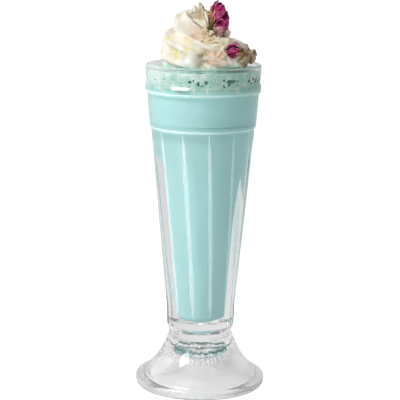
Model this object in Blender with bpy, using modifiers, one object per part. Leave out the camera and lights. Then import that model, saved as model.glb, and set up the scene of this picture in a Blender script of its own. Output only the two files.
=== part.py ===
"""Pale turquoise milkshake in a footed soda glass, with whipped cream and two dried rosebuds.

Metres, +Z up. The origin is the centre of the foot, on the table. The shown side faces -Y.
"""
import math
from collections import namedtuple

import bmesh
import bpy
from mathutils import Matrix, Vector

MM = 0.001
COLLECTION = "milkshake_in_soda_glass"

# Whole glass
RIM_Z = 190 * MM
SEGMENTS = 48
GAP = 0.3 * MM

# Plain collar and band at the top of the glass
LIP_R = 32.0 * MM
COLLAR_R = 33.3 * MM
COLLAR_COVE = 0.35 * MM
COLLAR_BOTTOM_Z = 174.2 * MM
BAND_TOP_R = 32.1 * MM
BAND_BOTTOM_R = 30.7 * MM
BAND_BOTTOM_Z = 153.4 * MM

# Twelve flat panels between rounded ribs
PANELS = 12
RIB_TURN = math.radians(7)
RIB_SOFTNESS = 0.25 * MM
FLUTE_TOP_Z = 152.4 * MM
FLUTE_TOP_R = 29.8 * MM
FLUTE_LOW_Z = 48 * MM
FLUTE_LOW_R = 20.0 * MM
FLUTE_END_Z = 35.6 * MM
FLUTE_END_R = 19.6 * MM
FLUTE_FADE_Z = 20 * MM

# Neck and bell-shaped foot; each bend is a handle of the curve between two named points
NECK_Z = 33 * MM
NECK_R = 18.4 * MM
BELL_TOP_Z = 27 * MM
BELL_TOP_R = 18.2 * MM
BELL_END_Z = 5.8 * MM
BELL_END_R = 37.0 * MM
BELL_BENDS = ((18.6 * MM, 19 * MM), (25 * MM, 9.5 * MM))
FOOT_R = 38.3 * MM
FOOT_RING_R = 36.6 * MM
EDGE_BENDS = ((38.8 * MM, 5.0 * MM), (38.8 * MM, 0.4 * MM))
HOLLOW_R = 29.0 * MM
HOLLOW_BENDS = ((25 * MM, 5 * MM), (17 * MM, 9 * MM))
HOLLOW_SHOULDER = (13.5 * MM, 15.5 * MM)
HOLLOW_ROOF_R = 11.5 * MM
HOLLOW_ROOF_Z = 17 * MM

# Inside of the glass: radius at a height, from the floor of the well up to the lip
WELL_FLOOR_Z = 38.6 * MM
WELL = (
    (8.0, 41.0), (9.0, 46.0), (10.4, 62.0), (12.2, 86.0), (14.6, 110.0), (16.6, 124.0),
    (18.6, 133.0), (22.6, 146.0), (25.8, 157.0), (28.6, 171.0), (30.0, 182.0), (30.7, 188.6),
)
WALL_MARGIN = 1.2 * MM

# Contents
MILK_TOP_Z = 177.6 * MM
FROTH_TOP_Z = 186.4 * MM

# Whipped cream: stations of the piped rope as turns, path radius, height, rope radius
ROPE = (
    (0.00, 18.6, 193.2, 8.6),
    (0.10, 18.8, 194.0, 9.8),
    (0.95, 18.4, 195.0, 9.8),
    (1.25, 16.4, 199.6, 9.2),
    (1.60, 13.6, 203.4, 9.0),
    (2.00, 10.4, 208.0, 8.6),
    (2.35, 6.8, 212.6, 7.6),
    (2.70, 3.0, 217.0, 5.6),
    (2.90, 0.8, 220.4, 3.2),
    (3.00, 0.2, 223.0, 1.1),
)
ROPE_START = math.radians(-32)
ROPE_POINTS = 72
ROPE_CENTRE_LOW = Vector((2.4, 0.0, 0.0)) * MM
ROPE_CENTRE_HIGH = Vector((-6.2, 0.0, 0.0)) * MM
STAR_POINTS = 6
STAR_DEPTH = 0.30
STAR_TWIST = math.radians(420)
CREAM_CORE = (24.0 * MM, 3.0 * MM, 183.0 * MM, 215.0 * MM)
CREAM_MAX_R = 29.8 * MM
CREAM_VOXEL = 1.3 * MM
CREAM_KEEP = 0.28

# Dried rosebuds: base and tip of each axis, widest radius, and the share of its side under sepals
Bud = namedtuple("Bud", "base tip radius sepal_reach knob")
LARGE_BUD = Bud(Vector((9.2, -10.0, 208.4)) * MM, Vector((7.2, -6.0, 226.0)) * MM, 5.7 * MM, 0.42, 1.5 * MM)
SMALL_BUD = Bud(Vector((19.8, -17.0, 200.2)) * MM, Vector((12.3, -21, 197.4)) * MM, 3.9 * MM, 0.45, 1.2 * MM)
PETALS = 5
PETAL_STEP = 0.09
SEPALS = 5
SEPAL_GAP = 0.35 * MM
SEPAL_THICK = 0.7 * MM
SEPAL_TAPER = 3.0
CUP_REACH = 0.14
HOLLOW_GAP = 0.45 * MM


def clear_scene():
    for item in list(bpy.data.objects):
        bpy.data.objects.remove(item, do_unlink=True)
    for item in list(bpy.data.collections):
        bpy.data.collections.remove(item)


def new_collection(name):
    collection = bpy.data.collections.new(name)
    bpy.context.scene.collection.children.link(collection)
    return collection


def material(name, colour, roughness, transmission=0.0):
    made = bpy.data.materials.new(name)
    made.use_nodes = True
    shader = made.node_tree.nodes["Principled BSDF"]
    shader.inputs["Base Color"].default_value = (*colour, 1.0)
    shader.inputs["Roughness"].default_value = roughness
    shader.inputs["Metallic"].default_value = 0.0
    shader.inputs["Transmission Weight"].default_value = transmission
    return made


def smoothstep(x):
    x = min(max(x, 0.0), 1.0)
    return x * x * (3 - 2 * x)


def place(name, mesh, collection):
    made = bpy.data.objects.new(name, mesh)
    collection.objects.link(made)
    return made


def finished(item):
    """Replace an object's mesh by its evaluated one, without modifiers."""
    graph = bpy.context.evaluated_depsgraph_get()
    graph.update()
    mesh = bpy.data.meshes.new_from_object(item.evaluated_get(graph))
    item.modifiers.clear()
    item.data = mesh
    return item


def dress(item, finish, sharp_degrees=40):
    item.data.materials.clear()
    item.data.materials.append(finish)
    item.data.shade_smooth()
    item.data.set_sharp_from_angle(angle=math.radians(sharp_degrees))


def turned(name, profile, collection):
    """Turn a profile of (radius, height) points that runs from axis to axis."""
    mesh = bpy.data.meshes.new(name)
    verts = [(r, 0.0, z) for r, z in profile]
    edges = [(i, i + 1) for i in range(len(profile) - 1)]
    mesh.from_pydata(verts, edges, [])
    item = place(name, mesh, collection)
    screw = item.modifiers.new("turn", "SCREW")
    screw.axis = "Z"
    screw.angle = math.tau
    screw.steps = SEGMENTS
    screw.render_steps = SEGMENTS
    screw.use_merge_vertices = True
    screw.merge_threshold = 0.02 * MM
    finished(item)
    item.data.transform(Matrix.Rotation(RIB_TURN, 4, "Z"))
    return item


def bezier(p0, p1, p2, p3, count):
    """Points of a cubic curve, without its first point."""
    points = []
    for i in range(1, count + 1):
        t = i / count
        u = 1 - t
        weights = (u ** 3, 3 * u * u * t, 3 * u * t * t, t ** 3)
        points.append(tuple(sum(w * p[k] for w, p in zip(weights, (p0, p1, p2, p3))) for k in (0, 1)))
    return points


def interpolate(table, key, key_index, value_index):
    """Straight-line value between the rows of a table."""
    for low, high in zip(table, table[1:]):
        if key <= high[key_index]:
            share = (key - low[key_index]) / (high[key_index] - low[key_index])
            share = max(share, 0.0)
            return low[value_index] + share * (high[value_index] - low[value_index])
    return table[-1][value_index]


def well_radius(z):
    return interpolate(WELL, z / MM, 1, 0) * MM


def collar_profile():
    """Outer side of the lip, the coved collar and the band below it, top to bottom."""
    points = [(LIP_R, RIM_Z), (LIP_R + 0.9 * MM, RIM_Z - 0.5 * MM), (COLLAR_R, RIM_Z - 1.6 * MM)]
    cove_top = RIM_Z - 2.6 * MM
    cove_bottom = COLLAR_BOTTOM_Z + 1.0 * MM
    for i in range(5):
        t = i / 4
        z = cove_top + (cove_bottom - cove_top) * t
        points.append((COLLAR_R - COLLAR_COVE * math.sin(math.pi * t) - 0.05 * MM, z))
    points.append((COLLAR_R, COLLAR_BOTTOM_Z + 0.3 * MM))
    points.append((COLLAR_R - 0.5 * MM, COLLAR_BOTTOM_Z - 0.3 * MM))
    points.append((BAND_TOP_R, COLLAR_BOTTOM_Z - 0.9 * MM))
    points.append((BAND_TOP_R - 0.5 * MM, COLLAR_BOTTOM_Z - 9 * MM))
    points.append((BAND_BOTTOM_R, BAND_BOTTOM_Z + 1.2 * MM))
    points.append((BAND_BOTTOM_R - 0.2 * MM, BAND_BOTTOM_Z))
    return points


def body_profile():
    """Outer side of the fluted body, measured on the ribs, top to bottom."""
    points = []
    rows = 4
    for i in range(rows + 1):
        t = i / rows
        radius = FLUTE_TOP_R + (FLUTE_LOW_R - FLUTE_TOP_R) * t
        height = FLUTE_TOP_Z + (FLUTE_LOW_Z - FLUTE_TOP_Z) * t
        points.append((radius, height))
    points.append((FLUTE_END_R, FLUTE_END_Z + 1.0 * MM))
    points.append((FLUTE_END_R - 0.4 * MM, FLUTE_END_Z))
    points.append((NECK_R, NECK_Z))
    return points


def foot_profile():
    """Neck, bell, rounded edge, resting ring and the hollow under the foot, top to bottom."""
    points = [(BELL_TOP_R, BELL_TOP_Z)]
    points += bezier((BELL_TOP_R, BELL_TOP_Z), *BELL_BENDS, (BELL_END_R, BELL_END_Z), 8)
    points += bezier((BELL_END_R, BELL_END_Z), *EDGE_BENDS, (FOOT_RING_R, 0.0), 5)
    points.append((HOLLOW_R, 0.0))
    points += bezier((HOLLOW_R, 0.0), *HOLLOW_BENDS, HOLLOW_SHOULDER, 4)
    points.append((HOLLOW_ROOF_R, HOLLOW_ROOF_Z))
    points.append((0.0, HOLLOW_ROOF_Z + 0.3 * MM))
    return points


def well_profile():
    """Inside of the glass from the middle of its floor up to the lip."""
    points = [(0.0, WELL_FLOOR_Z), (4.8 * MM, WELL_FLOOR_Z + 0.5 * MM)]
    points += [(r * MM, z * MM) for r, z in WELL]
    points.append((30.9 * MM, RIM_Z - 0.4 * MM))
    return points


def panel_radius(angle, radius, depth):
    """Radius of a twelve-sided outline with rounded ribs; depth 0 is round, 1 has flat panels."""
    half = math.pi / PANELS
    offset = (angle - RIB_TURN) % (2 * half) - half
    flat = radius * math.cos(half) / math.cos(offset)
    soft = radius - RIB_SOFTNESS - math.sqrt((flat - radius) ** 2 + RIB_SOFTNESS ** 2) + (radius - flat)
    return radius + (min(flat, soft + RIB_SOFTNESS) - radius) * depth


def flute_depth(z):
    """Share of the panels' full depth at a height: full on the body, fading into the bell."""
    if z > FLUTE_TOP_Z + 0.1 * MM:
        return 0.0
    return smoothstep((z - FLUTE_FADE_Z) / (FLUTE_END_Z - FLUTE_FADE_Z))


def on_inside(radius, z):
    """Whether a point of the turned glass lies on the wall of the well."""
    return z > WELL_FLOOR_Z - WALL_MARGIN and radius < well_radius(z) + WALL_MARGIN


def make_glass(collection):
    profile = well_profile() + collar_profile() + body_profile() + foot_profile()
    glass = turned("glass", profile, collection)
    for vert in glass.data.vertices:
        x, y, z = vert.co
        radius = math.hypot(x, y)
        if z < FLUTE_FADE_Z or on_inside(radius, z):
            continue
        new = panel_radius(math.atan2(y, x), radius, flute_depth(z))
        vert.co.x = x * new / radius
        vert.co.y = y * new / radius
    return glass


def make_milkshake(collection):
    """The drink fills the well up to its level, a hair inside the glass."""
    profile = [(0.0, MILK_TOP_Z), (well_radius(MILK_TOP_Z) - GAP, MILK_TOP_Z)]
    profile += [(r * MM - GAP, z * MM + 0.1 * MM) for r, z in reversed(WELL) if z * MM < MILK_TOP_Z]
    profile += [(4.6 * MM, WELL_FLOOR_Z + 0.5 * MM + GAP), (0.0, WELL_FLOOR_Z + GAP)]
    return turned("milkshake", profile, collection)


def make_froth(collection):
    """Layer of froth on the drink, under the cream."""
    low = MILK_TOP_Z + GAP
    middle = (low + FROTH_TOP_Z) / 2
    profile = [(0.0, FROTH_TOP_Z), (well_radius(FROTH_TOP_Z) - 1.4 * MM, FROTH_TOP_Z)]
    profile += [(well_radius(z) - GAP, z) for z in (FROTH_TOP_Z - 0.4 * MM, middle, low)]
    profile += [(0.0, low)]
    return turned("froth", profile, collection)


def rope_station(turn):
    """Centre and radius of the piped rope after a number of turns."""
    path_r, height, rope_r = (interpolate(ROPE, turn, 0, k) * MM for k in (1, 2, 3))
    angle = ROPE_START - math.tau * turn
    centre = ROPE_CENTRE_LOW.lerp(ROPE_CENTRE_HIGH, smoothstep(turn / ROPE[-1][0]))
    return centre + Vector((path_r * math.cos(angle), path_r * math.sin(angle), height)), rope_r


def star_section(name, collection):
    """Star outline of the piping nozzle, as a closed flat curve of unit size."""
    curve = bpy.data.curves.new(name, "CURVE")
    curve.dimensions = "2D"
    spline = curve.splines.new("POLY")
    count = STAR_POINTS * 4
    spline.points.add(count - 1)
    for i, point in enumerate(spline.points):
        angle = math.tau * i / count
        reach = 1 - STAR_DEPTH * (0.5 - 0.5 * math.cos(STAR_POINTS * angle))
        point.co = (reach * math.cos(angle), reach * math.sin(angle), 0.0, 1.0)
    spline.use_cyclic_u = True
    return place(name, curve, collection)


def make_rope(collection):
    """Piped rope of cream as a curve with the nozzle's star as its section."""
    curve = bpy.data.curves.new("cream_rope", "CURVE")
    curve.dimensions = "3D"
    curve.bevel_mode = "OBJECT"
    curve.bevel_object = star_section("nozzle_star", collection)
    curve.use_fill_caps = True
    spline = curve.splines.new("POLY")
    spline.points.add(ROPE_POINTS - 1)
    for i, point in enumerate(spline.points):
        share = i / (ROPE_POINTS - 1)
        centre, rope_r = rope_station(share * ROPE[-1][0])
        point.co = (*centre, 1.0)
        point.radius = rope_r
        point.tilt = STAR_TWIST * share
    return place("cream_rope", curve, collection)


def as_mesh(item, name, collection):
    """A plain welded mesh object from any evaluated object, which is removed."""
    graph = bpy.context.evaluated_depsgraph_get()
    graph.update()
    mesh = bpy.data.meshes.new_from_object(item.evaluated_get(graph))
    mesh.transform(item.matrix_world)
    bpy.data.objects.remove(item, do_unlink=True)
    cage = bmesh.new()
    cage.from_mesh(mesh)
    bmesh.ops.remove_doubles(cage, verts=cage.verts, dist=0.01 * MM)
    cage.to_mesh(mesh)
    cage.free()
    return place(name, mesh, collection)


def add_core(mesh):
    """Fill the middle of the swirl with a blunt cone."""
    low_r, high_r, low_z, high_z = CREAM_CORE
    cage = bmesh.new()
    cage.from_mesh(mesh)
    middle = Matrix.Translation(Vector((0.0, 0.0, (low_z + high_z) / 2)))
    bmesh.ops.create_cone(cage, cap_ends=True, segments=32, radius1=low_r, radius2=high_r,
                          depth=high_z - low_z, matrix=middle)
    cage.to_mesh(mesh)
    cage.free()


def keep_largest_body(mesh):
    """Drop sealed pockets and scraps: only the body with the most faces stays."""
    cage = bmesh.new()
    cage.from_mesh(mesh)
    waiting = set(cage.verts)
    bodies = []
    while waiting:
        stack = [waiting.pop()]
        body = set(stack)
        while stack:
            for edge in stack.pop().link_edges:
                for vert in edge.verts:
                    if vert in waiting:
                        waiting.discard(vert)
                        body.add(vert)
                        stack.append(vert)
        bodies.append(body)
    bodies.sort(key=len)
    spare = [vert for body in bodies[:-1] for vert in body]
    bmesh.ops.delete(cage, geom=spare, context="VERTS")
    cage.to_mesh(mesh)
    cage.free()


def mouth_cutter(collection):
    """The space above the froth that the cream may fill."""
    cage = bmesh.new()
    low = FROTH_TOP_Z + GAP
    high = 240 * MM
    middle = Matrix.Translation(Vector((0.0, 0.0, (low + high) / 2)))
    bmesh.ops.create_cone(cage, cap_ends=True, segments=SEGMENTS, radius1=CREAM_MAX_R, radius2=CREAM_MAX_R,
                          depth=high - low, matrix=middle)
    mesh = bpy.data.meshes.new("mouth_cutter")
    cage.to_mesh(mesh)
    cage.free()
    return as_cutter(place("mouth_cutter", mesh, collection))


def as_cutter(item):
    item.hide_render = True
    item.display_type = "WIRE"
    return item


def cut(item, cutter, operation):
    change = item.modifiers.new(cutter.name, "BOOLEAN")
    change.object = cutter
    change.operation = operation
    change.solver = "EXACT"
    return finished(item)


def make_cream(collection, cutters, hollows):
    """Ruffled swirl of cream, cut flat on the froth and hollowed where the rosebuds press in."""
    cream = as_mesh(make_rope(cutters), "whipped_cream", collection)
    bpy.data.objects.remove(bpy.data.objects["nozzle_star"], do_unlink=True)
    add_core(cream.data)
    remesh = cream.modifiers.new("join", "REMESH")
    remesh.mode = "VOXEL"
    remesh.voxel_size = CREAM_VOXEL
    soften = cream.modifiers.new("soften", "SMOOTH")
    soften.factor = 0.5
    soften.iterations = 2
    thin = cream.modifiers.new("thin", "DECIMATE")
    thin.ratio = CREAM_KEEP
    finished(cream)
    keep_largest_body(cream.data)
    cut(cream, mouth_cutter(cutters), "INTERSECT")
    for hollow in hollows:
        cut(cream, hollow, "DIFFERENCE")
    keep_largest_body(cream.data)
    return cream


def bud_frame(bud):
    """Matrix that puts a bud's own axis, +Z from base to tip, in the world."""
    along = (bud.tip - bud.base).normalized()
    side = along.cross(Vector((0.0, 1.0, 0.0))).normalized()
    front = along.cross(side)
    turn = Matrix((side, front, along)).transposed().to_4x4()
    return Matrix.Translation(bud.base) @ turn


def bud_outline(share):
    """Width of a closed bud, from its base at 0 to its pinched tip at 1, as a share of the widest."""
    return math.sin(math.pi * min(max(share, 0.0), 1.0) ** 0.9) ** 0.52


def petal_relief(angle, share):
    """Steps where each wrapped petal's edge lies over the next one, winding up the bud."""
    wound = (PETALS * angle / math.tau + 1.4 * share) % 1.0
    edge = smoothstep(wound / 0.82) if wound < 0.82 else 1 - smoothstep((wound - 0.82) / 0.18)
    return PETAL_STEP * (edge - 0.5)


def bud_point(bud, angle, share, relief, lift=0.0):
    """A point on a bud's side, lifted along the normal of its outline, in the bud's own frame."""
    length = (bud.tip - bud.base).length

    def outline(at):
        return bud.radius * bud_outline(at) * (1 + relief), length * at

    low = outline(max(share - 0.01, 0.0))
    high = outline(min(share + 0.01, 1.0))
    rise = Vector((high[0] - low[0], high[1] - low[1])).normalized()
    if share in (0.0, 1.0):
        rise = Vector((1.0, 0.0)) if share == 0.0 else Vector((-1.0, 0.0))
    wide, height = outline(share)
    wide += rise.y * lift
    height -= rise.x * lift
    return Vector((wide * math.cos(angle), wide * math.sin(angle), height))


def sphere_mesh(name, segments, rings, shape, upside_down=False):
    """A UV sphere whose points are moved to shape(angle, polar), polar being 0 at its top."""
    cage = bmesh.new()
    bmesh.ops.create_uvsphere(cage, u_segments=segments, v_segments=rings, radius=1.0)
    for vert in cage.verts:
        polar = math.acos(min(max(vert.co.z, -1.0), 1.0))
        vert.co = shape(math.atan2(vert.co.y, vert.co.x), polar)
    if upside_down:
        bmesh.ops.reverse_faces(cage, faces=cage.faces)
    mesh = bpy.data.meshes.new(name)
    cage.to_mesh(mesh)
    cage.free()
    return mesh


def knob_lift(bud, share):
    """Swelling of the calyx where the stem broke off."""
    return bud.knob * max(0.0, 1 - share / 0.12) ** 2


def make_bud(name, bud, segments, collection):
    """Closed bud of wrapped petals."""
    def shape(angle, polar):
        share = 1 - polar / math.pi
        return bud_point(bud, angle, share, petal_relief(angle, share))

    mesh = sphere_mesh(name, segments, segments * 2 // 3, shape)
    mesh.transform(bud_frame(bud))
    return place(name, mesh, collection)


def make_hollow(name, bud, collection):
    """The room that a bud and its calyx need in the cream."""
    def shape(angle, polar):
        share = 1 - polar / math.pi
        cover = 1 - smoothstep((share - bud.sepal_reach) / 0.1)
        lift = HOLLOW_GAP + cover * (SEPAL_GAP + SEPAL_THICK) + bud.knob * max(0.0, 1 - share / 0.24)
        return bud_point(bud, angle, share, PETAL_STEP / 2, lift)

    mesh = sphere_mesh(name, 20, 14, shape)
    mesh.transform(bud_frame(bud))
    return as_cutter(place(name, mesh, collection))


def make_calyx(name, bud, segments, rings, collection):
    """Dried calyx: a cup under the bud that runs out into narrow sepals along its side."""
    def shape(angle, polar):
        outer = polar < math.pi / 2 - 0.01
        inner = polar > math.pi / 2 + 0.01
        across = 1 - abs(1 - polar / (math.pi / 2))
        lobe = abs(math.cos(SEPALS * angle / 2)) ** SEPAL_TAPER
        share = across * (CUP_REACH + (bud.sepal_reach - CUP_REACH) * lobe)
        thick = SEPAL_THICK + knob_lift(bud, share) if outer else SEPAL_THICK / 2
        return bud_point(bud, angle, share, PETAL_STEP / 2, SEPAL_GAP + (0.0 if inner else thick))

    mesh = sphere_mesh(name, segments, rings, shape, upside_down=True)
    mesh.transform(bud_frame(bud))
    return place(name, mesh, collection)


def main():
    clear_scene()
    parts = new_collection(COLLECTION)
    cutters = new_collection("cutters")
    glass_finish = material("clear_glass", (0.93, 0.95, 0.95), 0.03, transmission=1.0)
    milk_finish = material("turquoise_milk", (0.45, 0.76, 0.73), 0.35)
    froth_finish = material("froth", (0.66, 0.86, 0.82), 0.5)
    cream_finish = material("cream", (0.93, 0.87, 0.75), 0.45)
    petal_finish = material("dried_petal", (0.32, 0.04, 0.16), 0.7)
    sepal_finish = material("dried_sepal", (0.30, 0.25, 0.12), 0.8)

    dress(make_glass(parts), glass_finish, sharp_degrees=30)
    dress(make_milkshake(parts), milk_finish)
    dress(make_froth(parts), froth_finish)
    large_hollow = make_hollow("large_hollow", LARGE_BUD, cutters)
    small_hollow = make_hollow("small_hollow", SMALL_BUD, cutters)
    dress(make_cream(parts, cutters, (large_hollow, small_hollow)), cream_finish, sharp_degrees=60)
    dress(make_bud("rosebud_large", LARGE_BUD, 24, parts), petal_finish)
    dress(make_bud("rosebud_small", SMALL_BUD, 18, parts), petal_finish)
    dress(make_calyx("calyx_large", LARGE_BUD, 30, 8, parts), sepal_finish)
    dress(make_calyx("calyx_small", SMALL_BUD, 30, 6, parts), sepal_finish)


main()
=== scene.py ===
"""Looks of a pale turquoise milkshake in a footed soda glass, with whipped cream and dried rosebuds."""
import math
import random
from collections import namedtuple
from contextlib import contextmanager

import bmesh
import bpy
import numpy as np
from mathutils import Matrix, Vector, noise


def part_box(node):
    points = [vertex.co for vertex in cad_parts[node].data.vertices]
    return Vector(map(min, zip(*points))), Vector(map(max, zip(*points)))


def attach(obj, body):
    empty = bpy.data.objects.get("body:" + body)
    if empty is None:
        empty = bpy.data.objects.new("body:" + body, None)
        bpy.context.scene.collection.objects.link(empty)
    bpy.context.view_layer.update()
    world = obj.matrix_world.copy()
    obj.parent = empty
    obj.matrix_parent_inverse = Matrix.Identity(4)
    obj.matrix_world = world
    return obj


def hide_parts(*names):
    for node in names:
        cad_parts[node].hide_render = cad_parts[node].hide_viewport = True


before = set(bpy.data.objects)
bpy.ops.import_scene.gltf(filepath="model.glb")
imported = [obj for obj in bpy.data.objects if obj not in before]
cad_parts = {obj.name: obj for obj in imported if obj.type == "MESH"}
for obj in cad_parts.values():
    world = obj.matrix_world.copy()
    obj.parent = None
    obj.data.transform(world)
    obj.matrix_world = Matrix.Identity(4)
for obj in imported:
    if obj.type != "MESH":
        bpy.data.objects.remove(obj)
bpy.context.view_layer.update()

MM = 0.001

# Heights and radii that the frame gives, in millimetres
RIM_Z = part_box("glass")[1].z / MM
FOOT_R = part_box("glass")[1].x / MM
MILK_TOP_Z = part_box("milkshake")[1].z / MM
FROTH_TOP_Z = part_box("froth")[1].z / MM

# Glass, in millimetres: collar, band, fluted body, neck, bell and hollow foot
LIP_R = 32.1
COLLAR_R = 33.3
COLLAR_BOTTOM_Z = 174.2
BAND_TOP_R = 32.1
BAND_BOTTOM_R = 30.7
BAND_BOTTOM_Z = 153.4
PANELS = 12
RIB_TURN = math.radians(7)
RIB_ROUND = 0.9
FLUTE_TOP = (29.4, 152.4)
FLUTE_LOW = (19.7, 48.0)
FLUTE_END = (19.3, 35.6)
FLUTE_FADE_Z = 4.0
NECK = (18.1, 33.4)
BELL_TOP = (18.1, 31.5)
BELL_END = (37.0, 5.8)
FOOT_RING_R = 36.6
HOLLOW_R = 29.0
HOLLOW_EDGE = (28.4, 0.7)
HOLLOW_ROOF = (13.5, 15.5)
HOLLOW_ROOF_Z = 17.0
WELL = (
    (0.0, 38.6), (4.8, 39.1), (8.0, 41.0), (9.0, 46.0), (10.4, 62.0), (12.1, 86.0), (13.8, 110.0),
    (15.0, 124.0), (16.6, 133.0), (20.6, 146.0), (25.4, 157.0), (28.6, 171.0), (30.0, 182.0), (30.7, 188.4),
)
GLASS_SEGMENTS = 288
FILL_SEGMENTS = 144

# Uneven pressing: how far panels swell, as a share of the radius, and ribs drift round, in radians a metre
PANEL_BULGE = 0.055
RIB_DRIFT = 1.6
ROOF_RIPPLE = 0.4
ROOF_WAVES = 34

# Contents, in millimetres
INTO_WALL = 0.14
FROTH_INTO_WALL = 0.24
FROTH_CREEP = 0.9
FROTH_ROWS = 26
FROTH_RUN = 3.2

# Lines of gathered light under the ribs, in millimetres
LIGHT_DEPTH = 0.45
LIGHT_WIDTH = 2.7
LIGHT_END_Z = 43.0

# Rings of gathered light or shade just inside the glass: radius and height of the first and last edge, in
# millimetres, and the band finish
RINGS = (
    ("ledge_light", ((32.75, 175.75, 32.75, 174.05), (30.2, 154.95, 30.2, 152.85)), "gathered_light"),
    ("ledge_shade", ((30.35, 157.6, 30.35, 155.6),), "gathered_shade"),
    ("foot_light", ((30.0, 0.9, 37.4, 1.1), (37.5, 4.9, 37.5, 1.0)), "foot_light"),
    ("neck_shade", ((18.5, 36.6, 17.8, 34.2),), "neck_shade"),
    ("collar_gleam", ((32.6, 179.9, 33.0, 177.4),), "collar_gleam"),
    ("roof_shade", ((10.0, 20.6, 11.4, 17.9),), "roof_shade"),
)
RING_THICK = 0.04
ROOF_CRINKLE = 0.8
CRINKLE_WAVES = 17

# Band finishes: colour, strength, then the place across the glass in millimetres, two distances from it, and
# the share of the strength at each
BANDS = {
    "gathered_light": ((0.84, 1.0, 0.99), 1.0, (-60, 52, 74), (1.0, 0.35)),
    "gathered_shade": ((0.22, 0.44, 0.42), 0.6, (-60, 40, 65), (0.25, 1.0)),
    "foot_light": ((0.80, 0.79, 0.80), 0.9, (0, 12, 24), (0.3, 1.0)),
    "neck_shade": ((0.10, 0.19, 0.18), 0.9, (0, 5, 10), (0.0, 1.0)),
    "roof_shade": ((0.09, 0.17, 0.165), 0.95, (0, 6, 12), (1.0, 0.6)),
    "collar_gleam": ((1.0, 1.0, 1.0), 1.2, (-13.5, 2.5, 5.5), (1.0, 0.0)),
}

# Whipped cream: stations of the piped rope as turns, path radius, height, rope radius
ROPE = (
    (0.00, 18.6, 193.2, 8.6), (0.10, 18.8, 194.0, 9.8), (0.95, 18.4, 195.0, 9.8), (1.25, 16.4, 199.6, 9.2),
    (1.60, 13.6, 203.4, 9.0), (2.00, 10.4, 208.0, 8.6), (2.35, 6.8, 212.6, 7.6), (2.70, 3.0, 217.0, 5.6),
    (2.90, 0.8, 220.4, 3.2), (3.00, 0.2, 223.0, 1.1),
)
ROPE_START = math.radians(-32)
ROPE_POINTS = 360
ROPE_SEED = 1
ROPE_CENTRE_LOW = Vector((2.4, 0.0, 0.0))
ROPE_CENTRE_HIGH = Vector((-6.2, 0.0, 0.0))
STAR_POINTS = 5
STAR_DEPTH = 0.42
STAR_TWIST = math.radians(900)
CREAM_CORE = (24.0, 3.0, 183.0, 215.0)
CREAM_MAX_R = 29.9
CREAM_VOXEL = 0.5

# Upright pleats round the lowest turn, in degrees, and single folds: place, reach and height above the cream
PLEATS = (-45, -26, -3, 33, 60, 88, 118, 150, 178, 206, 236, 262, 290)
PLEAT_SLANT = 1.3
PLEAT_DEPTH = 1.3
FOLDS = (
    (-18.5, -12.0, 198.5, 1.7, -1.2), (-16.4, -14.9, 197.6, 1.6, -1.3), (-15.4, -17.4, 195.0, 1.6, -1.3),
    (-16.9, -20.4, 192.2, 1.8, -1.2), (-1.0, -26.0, 196.4, 2.6, -3.6), (-0.8, -24.4, 192.4, 2.8, -3.4),
    (-19.7, -11.1, 204.6, 2.0, -0.8), (-10.0, -19.7, 204.9, 2.2, -0.9), (-6.5, -23.3, 195.0, 4.6, 1.4),
    (-21.6, -11.0, 195.0, 5.0, 0.9), (7.0, -24.0, 196.0, 5.2, 1.0), (-11.0, -8.0, 217.0, 4.0, 0.8),
)
RUFFLED = Vector((8.0, -24.0, 195.5)) * MM
RUFFLE_REACH = 7 * MM

# Where crumbs of petal lie on the cream, in millimetres, and how far round each place
CRUMB_PLACES = ((3.0, -16.0, 207.5), (13.5, -12.0, 206.5), (22.5, -14.0, 195.8), (24.0, -5.0, 196.5))
CRUMB_REACH = 7.5 * MM
CRUMBS_PER_SQUARE_METRE = 2000000.0
CRUMB_SIZE = 0.5 * MM
FLAKES_PER_SQUARE_METRE = 450000.0
FLAKE_SIZE = 0.95 * MM

# Stains, painted shade and painted light on the cream, from the first laid to the last: places and reach in
# millimetres, colour and strength
StainAndPaintedLight = namedtuple("StainAndPaintedLight", "places reach colour strength")
# Painted shade: yellow in the pits of the folds and the curl, dark in the valley between the lobes
YELLOW_PIT_SHADE = StainAndPaintedLight(((-19.7, -11.1, 204.6), (-10.0, -19.7, 204.9)), 4.0, (0.88, 0.84, 0.36), 0.9)
YELLOW_CURL = StainAndPaintedLight(((-16.4, -14.9, 197.6), (-15.4, -17.4, 195.0), (-16.9, -20.4, 192.2),
                     (-9.0, -21.8, 199.5)), 4.2, (0.80, 0.73, 0.34), 1.0)
DARK_VALLEY = StainAndPaintedLight(((-0.6, -26.0, 197.0), (0.0, -24.6, 193.4), (0.4, -24.2, 191.0)),
                    5.0, (0.46, 0.41, 0.28), 2.0)
# Tan blotches near the rosebuds
TAN_BLOTCH = StainAndPaintedLight(((5.6, -20.9, 202.4), (0.6, -17.5, 205.8), (10.5, -17.9, 204.8), (23.5, -12.0, 196.5)),
                 9.0, (0.80, 0.68, 0.44), 0.9)
PINK_RUFFLE = StainAndPaintedLight(((6.0, -25.0, 193.0), (11.0, -23.5, 195.0), (-5.0, -17.0, 208.0)),
                    8.0, (0.86, 0.63, 0.47), 1.5)
WHITE_LOBE = StainAndPaintedLight(((-8.0, -23.0, 194.5), (-12.0, -22.0, 192.0)), 5.0, (0.93, 0.91, 0.89), 1.0)
CRUMB_DUST = StainAndPaintedLight(CRUMB_PLACES, 10.0, (0.82, 0.68, 0.44), 0.6)
# Brown blotches low on the right, by the brown shards
BROWN_BLOTCH = StainAndPaintedLight(((22.0, -16.0, 193.0), (26.0, -10.0, 196.0)), 8.0, (0.58, 0.35, 0.12), 2.0)
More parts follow.
